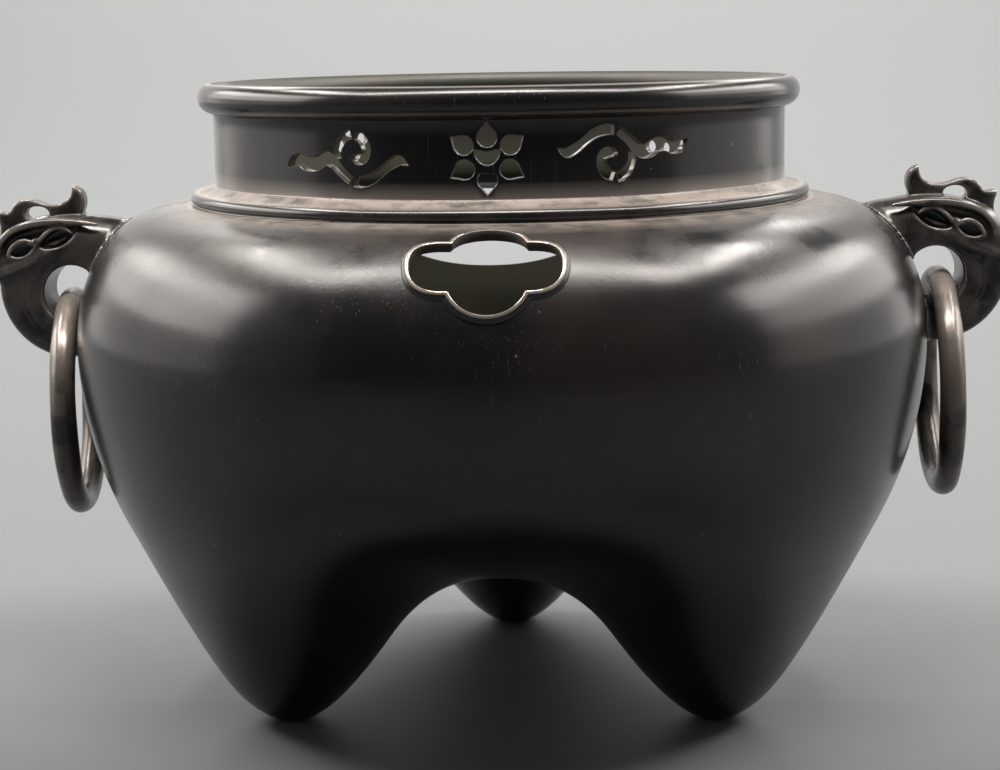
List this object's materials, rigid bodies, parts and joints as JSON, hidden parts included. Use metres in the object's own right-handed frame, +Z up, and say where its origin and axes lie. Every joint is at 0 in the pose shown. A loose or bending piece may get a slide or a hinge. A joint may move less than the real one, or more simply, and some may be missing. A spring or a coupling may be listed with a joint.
{
  "type": "tripod brazier",
  "caption": "Round cast bronze brazier on hollow bag-like feet, with a pierced collar, a lobed front window and beast-head lugs that carry loose ring handles.",
  "frame": {"origin": "on the floor under the mouth's centre", "axes": "+Z up through the mouth, the lobed window facing -Y, the lugs at +X and -X"},
  "size_m": [0.4232, 0.3394, 0.2496],
  "materials": {
    "dark_bronze": "satin, dark brown-black patina",
    "worn_bronze": "satin, patina worn brown by handling"
  },
  "bodies": {
    "brazier": {"brazier_vessel": "dark_bronze", "beast_lug_right": "dark_bronze", "beast_lug_left": "dark_bronze"},
    "right_ring": {"handle_ring_right": "worn_bronze"},
    "left_ring": {"handle_ring_left": "worn_bronze"}
  },
  "joints": [
    {"name": "right_ring_swing", "type": "hinge", "parent": "brazier", "child": "right_ring", "pos_m": [0.1761, 0, 0.1669], "axis": [0, -1, 0], "range_deg": [0, 90]},
    {"name": "left_ring_swing", "type": "hinge", "parent": "brazier", "child": "left_ring", "pos_m": [-0.1754, 0, 0.1621], "axis": [0, 1, 0], "range_deg": [0, 90]}
  ]
}
